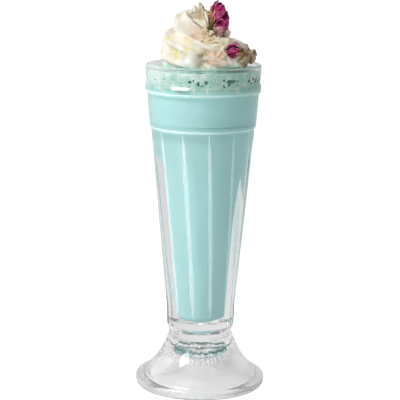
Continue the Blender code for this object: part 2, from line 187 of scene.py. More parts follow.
# Mint where the froth soaks in, made lighter as painted light where the small bud shades the cream
MINT_SOAK_AND_PAINTED_LIGHT = StainAndPaintedLight(((17.0, -21.0, 190.5),), 6.0, (0.78, 0.94, 0.84), 1.4)
STAINS_AND_PAINTED_LIGHT = (YELLOW_PIT_SHADE, YELLOW_CURL, DARK_VALLEY, TAN_BLOTCH, PINK_RUFFLE, WHITE_LOBE, CRUMB_DUST, BROWN_BLOTCH,
          MINT_SOAK_AND_PAINTED_LIGHT)

# Dried rosebuds, in metres, and the fold depth of their petals as a share of the bud's radius
Bud = namedtuple("Bud", "base tip radius knob knob_size")
LARGE_BUD = Bud(Vector((9.2, -10.0, 207.8)) * MM, Vector((7.4, -6.0, 225.0)) * MM, 5.5 * MM,
                Vector((2.6, -13.6, 210.4)) * MM, 1.3 * MM)
SMALL_BUD = Bud(Vector((19.8, -17.0, 200.2)) * MM, Vector((12.3, -21.0, 197.4)) * MM, 3.9 * MM,
                Vector((21.3, -18.6, 199.4)) * MM, 1.2 * MM)
CRINKLE_DEPTH = 0.24
PETAL_THICK = 0.16 * MM
SEPAL_THICK = 0.2 * MM
LEAF_THICK = 0.15 * MM

# Layers of petals from the heart outwards: how many, how deep, how far up the flower, half width
LARGE_LAYERS = ((4, -0.26, 0.90, 1.2), (5, -0.14, 0.88, 1.1), (6, -0.05, 0.82, 0.9), (6, 0.0, 0.70, 0.8))
SMALL_LAYERS = ((3, -0.24, 0.92, 1.3), (4, -0.10, 0.88, 1.1), (5, 0.0, 0.76, 0.9))

# Sepals of each bud: angle round the flower in degrees, and how far up it they reach
LARGE_SEPALS = ((8, 0.22), (28, 0.33), (46, 0.27), (62, 0.40), (80, 0.28), (100, 0.34),
                (125, 0.2), (160, 0.14),
                (195, 0.13), (235, 0.15), (280, 0.2), (325, 0.24))
SMALL_SEPALS = ((15, 0.25), (70, 0.2), (130, 0.25), (190, 0.3), (225, 0.35), (250, 0.3), (275, 0.4),
                (300, 0.42),
                (325, 0.34))

# Leaf shards as base, tip, width and how brown they are, and the thin stem, in millimetres
SHARDS = (
    ((-0.7, -10.5, 214.6), (-3.1, -7.6, 225.0), 4.2, 0.0),
    ((0.4, -11.0, 214.2), (-7.0, -8.0, 219.4), 4.0, 0.0),
    ((1.4, -14.6, 209.8), (0.8, -9.4, 221.5), 2.6, 0.0),
    ((1.1, -13.4, 211.4), (-2.8, -9.2, 219.4), 3.4, 0.0),
    ((25.5, -9.5, 191.5), (29.0, -8.0, 199.0), 5.0, 0.75),
    ((22.0, -17.0, 191.5), (25.0, -15.0, 198.0), 4.0, 0.95),
    ((25.0, -13.5, 192.0), (21.5, -15.5, 200.0), 3.0, 0.9),
    ((19.5, -19.5, 192.5), (23.5, -17.5, 195.5), 3.0, 0.8),
)
SHARD_ROWS = 12
SHARD_COLUMNS = 8
STEM = ((-5.4, -13.3, 214.4), (-2.9, -14.7, 212.8), (-0.6, -15.5, 211.2), (2.2, -14.6, 210.2))

# Camera, fitted to the rim, the ledges and the foot in the photograph
CAMERA_AT = Vector((-1.09, -796.7, 269.4)) * MM
CAMERA_LENS = 125.17
CAMERA_PITCH = math.radians(11.303)
CAMERA_ROLL = math.radians(0.717)

# Lamps as place, width, height and power, and how bright each ray but the camera's sees the floor
LAMPS = {"key_left": ((-0.60, -0.58, 0.66), 0.56, 0.25, 4.4), "top": ((-0.2, -0.1, 0.95), 0.5, 0.5, 0.8)}
LAMPS_AIM = Vector((0.0, 0.0, 0.12))
FLOOR_GLOW = 0.56


# Plain helpers

def smoothstep(x):
    x = min(max(x, 0.0), 1.0)
    return x * x * (3 - 2 * x)


def place(name, data):
    made = bpy.data.objects.new(name, data)
    bpy.context.scene.collection.objects.link(made)
    return made


def evaluated_mesh(item):
    graph = bpy.context.evaluated_depsgraph_get()
    graph.update()
    return bpy.data.meshes.new_from_object(item.evaluated_get(graph))


def plain(item):
    """Replace an object's mesh by its evaluated one, with no modifier left."""
    mesh = evaluated_mesh(item)
    item.modifiers.clear()
    item.data = mesh
    return item


def mesh_object(name, cage):
    """An object made of a bmesh, which is freed."""
    mesh = bpy.data.meshes.new(name)
    cage.to_mesh(mesh)
    cage.free()
    return place(name, mesh)


@contextmanager
def edited(mesh):
    """A bmesh of a mesh, written back to it at the end."""
    cage = bmesh.new()
    cage.from_mesh(mesh)
    yield cage
    cage.to_mesh(mesh)
    cage.free()


def thickened(item, thickness):
    wall = item.modifiers.new("thickness", "SOLIDIFY")
    wall.thickness = thickness
    return plain(item)


def grid_faces(cage, rows):
    for low, high in zip(rows, rows[1:]):
        for i in range(len(low) - 1):
            cage.faces.new((low[i], low[i + 1], high[i + 1], high[i]))


def poly_curve(name, points, dimensions="3D"):
    """A curve object through points, and its spline."""
    curve = bpy.data.curves.new(name, "CURVE")
    curve.dimensions = dimensions
    spline = curve.splines.new("POLY")
    spline.points.add(len(points) - 1)
    for point, at in zip(spline.points, points):
        point.co = (*at, 1.0)
    return place(name, curve), spline


def finish_piece(item, finish, cad_node):
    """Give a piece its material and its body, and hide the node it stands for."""
    item.data.materials.clear()
    item.data.materials.append(finish)
    item.data.shade_smooth()
    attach(item, "root")
    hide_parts(cad_node)


def vertex_values(mesh, key):
    values = np.empty(len(mesh.vertices) * 3, dtype=np.float32)
    mesh.vertices.foreach_get(key, values)
    return values.reshape(-1, 3).astype(float)


def set_attribute(mesh, name, values):
    made = mesh.attributes.new(name, "FLOAT", "POINT")
    made.data.foreach_set("value", np.asarray(values, dtype=np.float32))


def interpolate(table, key, key_index, value_index):
    """Straight-line value between the rows of a table."""
    for low, high in zip(table, table[1:]):
        if key <= high[key_index]:
            share = max((key - low[key_index]) / (high[key_index] - low[key_index]), 0.0)
            return low[value_index] + share * (high[value_index] - low[value_index])
    return table[-1][value_index]


def smooth_line(points, steps):
    """Points of a smooth curve through the given ones."""
    line = [points[0]]
    for i in range(len(points) - 1):
        four = points[max(i - 1, 0)], points[i], points[i + 1], points[min(i + 2, len(points) - 1)]
        for step in range(1, steps + 1):
            t = step / steps
            line.append(tuple(
                0.5 * (2 * b + (c - a) * t + (2 * a - 5 * b + 4 * c - d) * t ** 2
                       + (3 * b - a - 3 * c + d) * t ** 3)
                for a, b, c, d in zip(*four)))
    return line


def bezier(p0, p1, p2, p3, count):
    """Points of a cubic curve, without its first point."""
    line = []
    for i in range(1, count + 1):
        t = i / count
        weights = ((1 - t) ** 3, 3 * (1 - t) ** 2 * t, 3 * (1 - t) * t * t, t ** 3)
        line.append(tuple(sum(w * p[k] for w, p in zip(weights, (p0, p1, p2, p3))) for k in (0, 1)))
    return line


def rounded(points, steps):
    """A line of (radius, height, rounding) points with each corner rounded off."""
    line = [points[0][:2]]
    for before, corner, after in zip(points, points[1:], points[2:]):
        if not corner[2]:
            line.append(corner[:2])
            continue
        at = Vector(corner[:2])
        start = at + (Vector(before[:2]) - at).normalized() * corner[2]
        end = at + (Vector(after[:2]) - at).normalized() * corner[2]
        for step in range(steps + 1):
            t = step / steps
            line.append(tuple(start.lerp(at, t).lerp(at.lerp(end, t), t)))
    line.append(points[-1][:2])
    return line


# Node trees

FLOAT, INTEGER, COLOUR = "NodeSocketFloat", "NodeSocketInt", "NodeSocketColor"
GEOMETRY, MATERIAL = "NodeSocketGeometry", "NodeSocketMaterial"


def feed(socket, value):
    """Link an input to an output socket, or set it to a plain value; a colour may leave out its alpha."""
    if isinstance(value, bpy.types.NodeSocket):
        socket.id_data.links.new(value, socket)
    elif socket.type == "RGBA":
        socket.default_value = (*value, 1)
    else:
        socket.default_value = value


def node(tree, kind, *values, out=0, named=None, **settings):
    """Add a node with its settings and inputs, and return one of its outputs."""
    made = tree.nodes.new(kind)
    for name, value in settings.items():
        setattr(made, name, value)
    for socket, value in zip(made.inputs, values):
        if value is not None:
            feed(socket, value)
    for name, value in (named or {}).items():
        feed(made.inputs[name], value)
    return made.outputs[out]


def maths(operation):
    """A function that adds this operation to the tree that its first socket is in."""
    def add(*values):
        tree = next(value.id_data for value in values if isinstance(value, bpy.types.NodeSocket))
        return node(tree, "ShaderNodeMath", *values, operation=operation)
    return add


plus, minus, times, over = (maths(name) for name in ("ADD", "SUBTRACT", "MULTIPLY", "DIVIDE"))
most, size_of, cosine, sine = (maths(name) for name in ("MAXIMUM", "ABSOLUTE", "COSINE", "SINE"))
floor_of, lapped, root = (maths(name) for name in ("FLOOR", "FLOORED_MODULO", "SQRT"))


def new_group(name, kind, inputs, outputs):
    """An empty node tree with named sockets: (name, type, default) in, (name, type) out."""
    tree = bpy.data.node_groups.new(name, kind)
    for label, socket_type, default in inputs:
        made = tree.interface.new_socket(label, in_out="INPUT", socket_type=socket_type)
        if default is not None:
            made.default_value = default
    for label, socket_type in outputs:
        tree.interface.new_socket(label, in_out="OUTPUT", socket_type=socket_type)
    return tree, tree.nodes.new("NodeGroupInput").outputs, tree.nodes.new("NodeGroupOutput").inputs


def apply_tree(item, tree, **values):
    """Run a geometry node tree on an object with its named inputs set, and keep the plain result."""
    change = item.modifiers.new(tree.name, "NODES")
    change.node_group = tree
    for socket in tree.interface.items_tree:
        key = socket.name.lower().replace(" ", "_")
        if key in values:
            change[socket.identifier] = values[key]
    return plain(item)


def sample(tree, geometry, value, index, kind):
    """A value of the profile's point with this index."""
    made = tree.nodes.new("GeometryNodeSampleIndex")
    made.data_type = kind
    for name, source in (("Geometry", geometry), ("Value", value), ("Index", index)):
        feed(made.inputs[name], source)
    return made.outputs["Value"]


def turning_tree():
    """Turns a profile round Z; where its flute attribute is 1 the outline is a ribbed polygon."""
    tree, given, result = new_group(
        "turned_form", "GeometryNodeTree",
        [("Profile", GEOMETRY, None), ("Segments", INTEGER, FILL_SEGMENTS), ("Panels", INTEGER, PANELS),
         ("Turn", FLOAT, RIB_TURN), ("Rib Round", FLOAT, RIB_ROUND * MM), ("Panel Bulge", FLOAT, PANEL_BULGE),
         ("Rib Drift", FLOAT, RIB_DRIFT), ("Finish", MATERIAL, None)],
        [("Geometry", GEOMETRY)])
    profile, segments, panels, turn, rib_round, bulge, drift, finish = given[:8]
    rows = node(tree, "GeometryNodeAttributeDomainSize", profile)
    grid = node(tree, "GeometryNodeMeshGrid", 1.0, 1.0, plus(segments, 1.0), rows)
    index = node(tree, "GeometryNodeInputIndex")
    column = floor_of(over(index, rows))
    row = minus(index, times(column, rows))
    point = sample(tree, profile, node(tree, "GeometryNodeInputPosition"), row, "FLOAT_VECTOR")
    flute_here = node(tree, "GeometryNodeInputNamedAttribute", "flute", data_type="FLOAT")
    flute = sample(tree, profile, flute_here, row, "FLOAT")
    radius, height = (node(tree, "ShaderNodeSeparateXYZ", point, out=k) for k in (0, 2))
    around = times(over(column, segments), math.tau)
    half = over(math.pi, panels)
    beside = minus(lapped(around, times(half, 2.0)), half)
    to_rib = times(minus(half, size_of(beside)), radius)
    soft = minus(root(plus(times(to_rib, to_rib), times(rib_round, rib_round))), rib_round)
    inner = minus(half, over(soft, most(radius, MM)))
    flat = over(times(radius, cosine(half)), cosine(inner))
    share = over(inner, half)
    swell = times(times(bulge, radius), minus(1.0, times(share, share)))
    reach = plus(radius, times(minus(plus(flat, swell), radius), flute))
    angle = plus(plus(around, turn), times(minus(FLUTE_TOP[1] * MM, height), drift))
    x, y = times(reach, cosine(angle)), times(reach, sine(angle))
    place_at = node(tree, "ShaderNodeCombineXYZ", x, y, height)
    moved = node(tree, "GeometryNodeSetPosition", grid, None, place_at)
    closed = node(tree, "GeometryNodeMergeByDistance", moved, named={"Distance": 0.002 * MM})
    outward = node(tree, "GeometryNodeFlipFaces", closed)
    feed(result[0], node(tree, "GeometryNodeSetMaterial", outward, None, finish))
    return tree


def ring_tree():
    """Repeats a piece round Z."""
    tree, given, result = new_group(
        "ring_of_pieces", "GeometryNodeTree",
        [("Piece", GEOMETRY, None), ("Count", INTEGER, PANELS), ("Turn", FLOAT, RIB_TURN),
         ("Finish", MATERIAL, None)],
        [("Geometry", GEOMETRY)])
    piece, count, turn, finish = given[:4]
    points = node(tree, "GeometryNodePoints", count)
    angle = plus(times(node(tree, "GeometryNodeInputIndex"), over(math.tau, count)), turn)
    facing = node(tree, "ShaderNodeCombineXYZ", None, None, angle)
    copies = node(tree, "GeometryNodeInstanceOnPoints", points, named={"Instance": piece, "Rotation": facing})
    single = node(tree, "GeometryNodeRealizeInstances", copies)
    feed(result[0], node(tree, "GeometryNodeSetMaterial", single, None, finish))
    return tree


def crumb_tree():
    """Scatters small flat crumbs over a surface, close to a few places."""
    tree, given, result = new_group(
        "scattered_crumbs", "GeometryNodeTree",
        [("Surface", GEOMETRY, None), ("Density", FLOAT, CRUMBS_PER_SQUARE_METRE),
         ("Reach", FLOAT, CRUMB_REACH), ("Size", FLOAT, CRUMB_SIZE), ("Seed", INTEGER, 3),
         ("Finish", MATERIAL, None)],
        [("Geometry", GEOMETRY)])
    surface, density, reach, size, seed, finish = given[:6]
    share = 0.0
    for point in CRUMB_PLACES:
        gap = node(tree, "ShaderNodeVectorMath", node(tree, "GeometryNodeInputPosition"), Vector(point) * MM,
                   operation="DISTANCE", out=1)
        share = most(minus(1.0, over(gap, reach)), share)
    points = node(tree, "GeometryNodeDistributePointsOnFaces", surface,
                  named={"Density": times(share, density), "Seed": seed})
    crumb = node(tree, "GeometryNodeMeshIcoSphere", size, 1)
    turn = node(tree, "FunctionNodeRandomValue", None, (math.tau, math.tau, math.tau),
                data_type="FLOAT_VECTOR", named={"Seed": seed})
    shape = node(tree, "FunctionNodeRandomValue", (0.5, 0.3, 0.15), (1.6, 0.9, 0.35),
                 data_type="FLOAT_VECTOR", named={"Seed": seed})
    copies = node(tree, "GeometryNodeInstanceOnPoints", points,
                  named={"Instance": crumb, "Rotation": turn, "Scale": shape})
    single = node(tree, "GeometryNodeRealizeInstances", copies)
    feed(result[0], node(tree, "GeometryNodeSetMaterial", single, None, finish))
    return tree


def turned(name, profile, tree, segments, finish):
    """A turned piece from (radius, height, flute) points in millimetres, outer side top to bottom."""
    mesh = bpy.data.meshes.new(name)
    edges = [(i, i + 1) for i in range(len(profile) - 1)]
    mesh.from_pydata([(r * MM, 0.0, z * MM) for r, z, _ in profile], edges, [])
    set_attribute(mesh, "flute", [flute for _, _, flute in profile])
    return apply_tree(place(name, mesh), tree, segments=segments, finish=finish)


# Glass and its contents

def well_radius(z):
    return interpolate(WELL, z, 1, 0)


def round_line(line):
    return [(r, z, 0.0) for r, z in line]


def flute_depth(z):
    """Share of the panels' full depth: full on the body, fading into the bell."""
    return smoothstep((z - FLUTE_FADE_Z) / (FLUTE_END[1] - FLUTE_FADE_Z))


def collar_and_band():
    """Outside of the glass from under the lip to the top of the panels."""
    collar = rounded([
        (COLLAR_R, RIM_Z - 2.0, 0.0), (COLLAR_R - 0.2, RIM_Z - 6.0, 3.0),
        (COLLAR_R - 0.62, COLLAR_BOTTOM_Z + 5.5, 0.5), (COLLAR_R + 0.08, COLLAR_BOTTOM_Z + 3.6, 0.4),
        (COLLAR_R, COLLAR_BOTTOM_Z + 1.0, 0.0)], 5)
    ledges = rounded([
        (COLLAR_R, COLLAR_BOTTOM_Z + 1.0, 0.0), (COLLAR_R, COLLAR_BOTTOM_Z, 0.45),
        (BAND_TOP_R, COLLAR_BOTTOM_Z - 0.9, 0.5), (BAND_TOP_R - 0.5, COLLAR_BOTTOM_Z - 9, 3.0),
        (BAND_BOTTOM_R, BAND_BOTTOM_Z + 0.4, 0.6),
        (FLUTE_TOP[0] + 0.25, FLUTE_TOP[1] + 0.4, 0.3), (*FLUTE_TOP, 0.0)], 5)
    return collar[1:] + ledges[1:-1]


def fluted_side():
    """Outside of the body, the neck and the bell, as far as the panels reach."""
    rows = 16
    body = [(FLUTE_TOP[0], FLUTE_TOP[1] - 0.6)]
    body += [tuple(a + (b - a) * i / rows for a, b in zip(FLUTE_TOP, FLUTE_LOW)) for i in range(1, rows + 1)]
    body += rounded([(*FLUTE_LOW, 0.0), (FLUTE_END[0] + 0.1, FLUTE_END[1] + 1.0, 3.0),
                     (FLUTE_END[0] - 0.1, FLUTE_END[1], 0.8), (*NECK, 1.5), (*BELL_TOP, 0.0)], 5)[1:]
    return body + bezier(BELL_TOP, (19.8, 25.4), (26.4, 10.8), BELL_END, 26)


def glass_profile():
    """Inside from the floor of the well to the lip, then down the outside and under the foot."""
    inside = smooth_line(WELL, 6)
    lip = bezier(inside[-1], (30.85, RIM_Z + 0.1), (30.9, RIM_Z), (LIP_R, RIM_Z), 6)
    lip += bezier((LIP_R, RIM_Z), (33.2, RIM_Z), (COLLAR_R + 0.15, RIM_Z - 1.0), (COLLAR_R, RIM_Z - 2.0), 7)
    edge = bezier(BELL_END, (FOOT_R + 0.5, 5.0), (FOOT_R + 0.5, 0.4), (FOOT_RING_R, 0.0), 14)
    under = rounded([(FOOT_RING_R, 0.0, 0.0), (HOLLOW_R, 0.0, 0.8), (*HOLLOW_EDGE, 0.0)], 5)[1:]
    hollow = bezier(HOLLOW_EDGE, (25.0, 5.0), (17.0, 9.0), HOLLOW_ROOF, 18)
    roof = rounded([(*HOLLOW_ROOF, 0.0), (HOLLOW_ROOF[0] - 1.2, HOLLOW_ROOF_Z + 0.2, 1.2),
                    (0.0, HOLLOW_ROOF_Z + 0.3, 0.0)], 6)
    fluted = [(r, z, flute_depth(z)) for r, z in fluted_side()]
    high, low = round_line(inside + lip + collar_and_band()), round_line(edge + under + hollow + roof[1:])
    return high + fluted + low


def make_glass(tree, finish):
    """The glass, with the uneven roof that the plunger leaves in its hollow foot."""
    glass = turned("soda_glass", glass_profile(), tree, GLASS_SEGMENTS, finish)
    for vert in glass.data.vertices:
        x, y, z = (value / MM for value in vert.co)
        reach = math.hypot(x, y)
        if z > HOLLOW_ROOF_Z + 1 or reach > 16.5 or reach < 3:
            continue
        share = smoothstep((z - 13.0) / 2.5) * smoothstep((reach - 8) / 4)
        wave = math.sin(ROOF_WAVES * math.atan2(y, x) + 3 * noise.noise(Vector((x, y, 0)) * 0.12))
        rough = 0.5 * noise.noise(Vector((x, y, 0)) * 0.9)
        vert.co.z += ROOF_RIPPLE * MM * share * (0.6 * wave + rough)
        vert.co.xy *= 1 + 0.02 * share * (wave - 2 * rough)
    return glass


def make_milkshake(tree, finish):
    """The drink reaches just into the wall, so that it touches the glass all over."""
    side = [(r + INTO_WALL if r else 0.0, z - (INTO_WALL if z < 40 else 0.0))
            for r, z in smooth_line(WELL, 5)]
    side = [(r, z) for r, z in side if z < MILK_TOP_Z - 0.3]
    top_r = well_radius(MILK_TOP_Z)
    top = [(0.0, MILK_TOP_Z), (top_r * 0.5, MILK_TOP_Z), (top_r + INTO_WALL, MILK_TOP_Z)]
    return turned("turquoise_milkshake", round_line(top + side[::-1]), tree, FILL_SEGMENTS, finish)


def make_froth(tree, finish):
    """Layer of froth between the drink and the cream, pressed against the glass, with a runny lower edge."""
    high = FROTH_TOP_Z + FROTH_CREEP
    heights = [high + (MILK_TOP_Z - high) * i / FROTH_ROWS for i in range(FROTH_ROWS + 1)]
    side = [(well_radius(z) + FROTH_INTO_WALL, z) for z in heights]
    top = [(0.0, FROTH_TOP_Z - 0.6), (24.0, FROTH_TOP_Z - 0.4), (27.0, FROTH_TOP_Z + 0.4), (29.2, high - 0.5)]
    profile = round_line(top + side + [(0.0, MILK_TOP_Z + 0.02)])
    froth = turned("milk_froth", profile, tree, GLASS_SEGMENTS, finish)
    for vert in froth.data.vertices:
        x, y, z = (value / MM for value in vert.co)
        reach = math.hypot(x, y)
        if reach < 20:
            continue
        if reach < well_radius(z):
            lump = noise.noise(Vector((x, y, z)) * 0.55) + 0.6 * noise.noise(Vector((x, y, z)) * 1.3)
            vert.co.z += lump * 0.5 * MM
            continue
        low = 1 - smoothstep((z - MILK_TOP_Z) / 3.0)
        run = max(0.0, noise.noise(Vector((x, y, 0)) * 0.30) + 0.55 * noise.noise(Vector((x, y, 9)) * 0.9))
        vert.co.z -= low * FROTH_RUN * run * MM
        vert.co.xy *= (well_radius(vert.co.z / MM) + FROTH_INTO_WALL) / reach
    return froth


def make_rib_lights(tree, finish):
    """Pale lines of gathered light just under each rib's crest, whose core attribute fades to their edges."""
    cage = bmesh.new()
    core = cage.verts.layers.float.new("core")
    rows, columns = 40, 8
    lines = []
    for i in range(rows + 1):
        t = i / rows
        z = FLUTE_TOP[1] - 0.3 + (LIGHT_END_Z - FLUTE_TOP[1]) * t
        crest = interpolate(((FLUTE_END[1], FLUTE_END[0]), FLUTE_LOW[::-1], FLUTE_TOP[::-1]), z, 0, 1)
        turn = Matrix.Rotation(RIB_DRIFT * MM * (FLUTE_TOP[1] - z), 3, "Z")
        half = 0.5 * LIGHT_WIDTH * min(1.0, 10 * t + 0.1, 10 * (1 - t) + 0.1)
        line = []
        for k in range(columns, -1, -1):
            across = 2 * k / columns - 1
            vert = cage.verts.new(turn @ Vector((crest - LIGHT_DEPTH, across * half, z)) * MM)
            vert[core] = 1 - smoothstep(abs(across))
            line.append(vert)
        lines.append(line)
    grid_faces(cage, lines)
    strip = thickened(mesh_object("rib_lights", cage), RING_THICK * MM)
    return apply_tree(strip, tree, finish=finish)


def make_rings(name, places, tree, finish):
    """Thin rings of gathered light or shade just inside the glass; the one at the roof is crinkled."""
    rings = []
    for number, (r0, z0, r1, z1) in enumerate(places):
        rows = 8
        start, end = Vector((r0, z0)), Vector((r1, z1))
        along = end - start
        behind = Vector((along.y, -along.x)).normalized() * RING_THICK
        face = [start.lerp(end, i / rows) for i in range(rows + 1)]
        loop = face + [point + behind for point in face[::-1]] + face[:1]
        ring = turned("%s_%d" % (name, number), round_line(loop), tree, GLASS_SEGMENTS, finish)
        middle = []
        for vert in ring.data.vertices:
            here = Vector((math.hypot(vert.co.x, vert.co.y), vert.co.z)) / MM
            middle.append(1 - smoothstep(abs(2 * (here - start).dot(along) / along.length_squared - 1)))
        set_attribute(ring.data, "core", middle)
        if name == "roof_shade":
            crinkle_ring(ring)
        rings.append(ring)
    return rings


def crinkle_ring(ring):
    for vert in ring.data.vertices:
        x, y, _ = vert.co / MM
        wave = math.sin(CRINKLE_WAVES * math.atan2(y, x) + 5 * noise.noise(Vector((x, y, 2)) * 0.3))
        rough = noise.noise(Vector((x, y, 5)) * 0.8)
        vert.co.z += ROOF_CRINKLE * MM * (0.6 * wave + 0.8 * rough) - 0.02 * MM * y


# Whipped cream

def rope_station(turn):
    """Centre and radius of the piped rope after a number of turns, in millimetres."""
    path_r, height, rope_r = (interpolate(ROPE, turn, 0, k) for k in (1, 2, 3))
    angle = ROPE_START - math.tau * turn
    centre = ROPE_CENTRE_LOW.lerp(ROPE_CENTRE_HIGH, smoothstep(turn / ROPE[-1][0]))
    return centre + Vector((path_r * math.cos(angle), path_r * math.sin(angle), height)), rope_r


def star_section():
    """Star outline of the piping nozzle, as a closed flat curve of unit size."""
    count = STAR_POINTS * 8
    outline = []
    for i in range(count):
        angle = math.tau * i / count
        reach = 1 - STAR_DEPTH * abs(math.sin(STAR_POINTS * angle / 2)) ** 1.3
        outline.append((reach * math.cos(angle), reach * math.sin(angle), 0.0))
    star, spline = poly_curve("nozzle_star", outline, "2D")
    spline.use_cyclic_u = True
    return star


def make_rope(star):
    """Piped rope of cream as a curve with the nozzle's star as its section."""
    noise.seed_set(ROPE_SEED)
    shares = [i / (ROPE_POINTS - 1) for i in range(ROPE_POINTS)]
    stations = [rope_station(share * ROPE[-1][0]) for share in shares]
    rope, spline = poly_curve(
        "cream_rope", [(centre + noise.noise_vector(centre * 0.09) * 0.8) * MM for centre, _ in stations])
    rope.data.bevel_mode = "OBJECT"
    rope.data.bevel_object = star
    rope.data.use_fill_caps = True
    for point, share, (_, rope_r) in zip(spline.points, shares, stations):
        pleat = 1 + 0.05 * math.sin(34 * math.sqrt(share) * 3.1) * (1 - share)
        point.radius = rope_r * MM * pleat
        point.tilt = STAR_TWIST * share
    return rope


def welded(item, name):
    """A plain mesh object from a curve object, which is removed."""
    mesh = evaluated_mesh(item)
    bpy.data.objects.remove(item, do_unlink=True)
    with edited(mesh) as cage:
        bmesh.ops.remove_doubles(cage, verts=cage.verts, dist=0.005 * MM)
    return place(name, mesh)


def add_core(mesh):
    low_r, high_r, low_z, high_z = (value * MM for value in CREAM_CORE)
    middle = Matrix.Translation(Vector((0.0, 0.0, (low_z + high_z) / 2)))
    with edited(mesh) as cage:
        bmesh.ops.create_cone(cage, cap_ends=True, segments=48, radius1=low_r, radius2=high_r,
                              depth=high_z - low_z, matrix=middle)


def smoothed(mesh, points, rounds):
    """Vertex positions after averaging each with its neighbours a number of times."""
    ends = np.empty(len(mesh.edges) * 2, dtype=np.int32)
    mesh.edges.foreach_get("vertices", ends)
    a, b = ends.reshape(-1, 2).T
    count = len(points)
    degree = np.maximum(np.bincount(ends, minlength=count), 1)[:, None]
    for _ in range(rounds):
        total = np.column_stack([np.bincount(a, line[b], count) + np.bincount(b, line[a], count)
                                 for line in points.T])
        points = 0.5 * points + 0.5 * total / degree
    return points


def noise_at(points, scale):
    return np.array([noise.noise(Vector(point) * scale) for point in points])


def make_cream():
    """Ruffled swirl of cream that stands on the froth."""
    star = star_section()
    cream = welded(make_rope(star), "whipped_cream_swirl")
    bpy.data.objects.remove(star, do_unlink=True)
    add_core(cream.data)
    remesh = cream.modifiers.new("join", "REMESH")
    remesh.mode = "VOXEL"
    remesh.voxel_size = CREAM_VOXEL * MM
    mesh = plain(cream).data
    points = smoothed(mesh, vertex_values(mesh, "co"), 2)
    low = np.clip((203.0 - points[:, 2:] / MM) / 7.0, 0, 1)
    points += 0.75 * low * (smoothed(mesh, points, 22) - points)
    lumps, ruffle, grain, wrinkle = (noise_at(points, scale) for scale in (95, 130, 520, 260))
    frill = np.exp(-(np.linalg.norm(points - np.array(RUFFLED), axis=1) / RUFFLE_REACH) ** 2)
    height = lumps * 1.3 - abs(ruffle) * 2.2 + grain * 0.12 + 0.4 - abs(wrinkle) * (0.5 + 3.0 * frill)
    height -= pleat_depth(points) + fold_depth(points)
    points += vertex_values(mesh, "normal") * height[:, None] * MM
    points[:, 2] = np.maximum(points[:, 2], (FROTH_TOP_Z - 0.4) * MM)
    reach = np.hypot(points[:, 0], points[:, 1])
    points[:, :2] *= np.minimum(1.0, CREAM_MAX_R * MM / np.maximum(reach, 1e-6))[:, None]
    points = smoothed(mesh, points, 1)
    mesh.vertices.foreach_set("co", points.astype(np.float32).ravel())
    mesh.update()
    # How deep each point lies in a hollow, for the painted shade in the creases
    hollow = ((smoothed(mesh, points, 14) - points) * vertex_values(mesh, "normal")).sum(axis=1)
    set_attribute(mesh, "crease", np.clip(hollow / (0.5 * MM), -1, 1))
    return cream


def pleat_depth(points):
    """Depth of the upright pleats round the lowest turn of the cream, in millimetres."""
    x, y, z = points.T / MM
    angle = np.degrees(np.arctan2(x, -y)) + PLEAT_SLANT * (z - 194)
    reach = np.hypot(x, y)
    depth = np.zeros(len(points))
    for pleat in PLEATS:
        gap = (angle - pleat + 180) % 360 - 180
        depth += (0.6 + 0.4 * math.sin(7 * pleat)) * np.exp(-(np.radians(gap) * reach / 2.0) ** 2)
    return PLEAT_DEPTH * depth * np.clip((202.0 - z) / 5.0, 0, 1) * np.clip((reach - 12) / 6, 0, 1)


def fold_depth(points):
    """Depth of single folds in the cream, less than 0 where a lobe stands out, in millimetres."""
    depth = np.zeros(len(points))
    for x, y, z, reach, height in FOLDS:
        gap = np.linalg.norm(points / MM - np.array((x, y, z)), axis=1)
        depth -= height * np.exp(-(gap / reach) ** 2)
    return depth


# Rosebuds

def flower_frames(bud):
    """The matrix that stretches a unit ball to the bud's egg shape, and the bud's middle."""
    along = (bud.tip - bud.base).normalized()
    side = along.cross(Vector((0.0, 1.0, 0.0))).normalized()
    turn = Matrix((side, along.cross(side), along)).transposed()
    half = Matrix.Diagonal((bud.radius, bud.radius, (bud.tip - bud.base).length / 2))
    return turn @ half @ turn.transposed(), (bud.base + bud.tip) / 2


def flower_point(bud, angle, share, lift):
    """A point over the flower: share 0 is at the knob, 1 at its opening; lift is a share of the radius."""
    stretch, middle = flower_frames(bud)
    polar = math.pi * share
    ball = Vector((math.sin(polar) * math.cos(angle), math.sin(polar) * math.sin(angle), -math.cos(polar)))
    heart = (stretch.inverted() @ (middle - bud.knob)).normalized()
    return stretch @ (heart.to_track_quat("Z", "Y") @ (ball * (1 + lift))) + middle


Petal = namedtuple("Petal", "angle spread start reach depth tuck curl tone stalk seed")


def crinkle(u, v, seed):
    """Height of dry folds that run along a petal: near 1 on a sharp fold, lower between folds."""
    sway = 0.5 * noise.noise(Vector((v * 2.2, seed, 3.1)))
    broad = 1 - 2.6 * abs(noise.noise(Vector((u * 2.6 + sway + seed, v * 1.8, seed * 1.7))))
    fine = 1 - 2.6 * abs(noise.noise(Vector((u * 8.0 + 2 * sway - seed, v * 3.6, seed))))
    return 0.68 * broad + 0.32 * fine


def petal_width(petal, v):
    """Half width of a petal at a share of its length."""
    width = petal.spread * (0.5 + 0.5 * math.sin(math.pi * min(0.1 + 0.6 * v, 1.0)) ** 0.7)
    if v > 0.8:
        width *= math.sqrt(max(0.02, 1 - ((v - 0.8) / 0.2) ** 2 * 0.85))
    return width


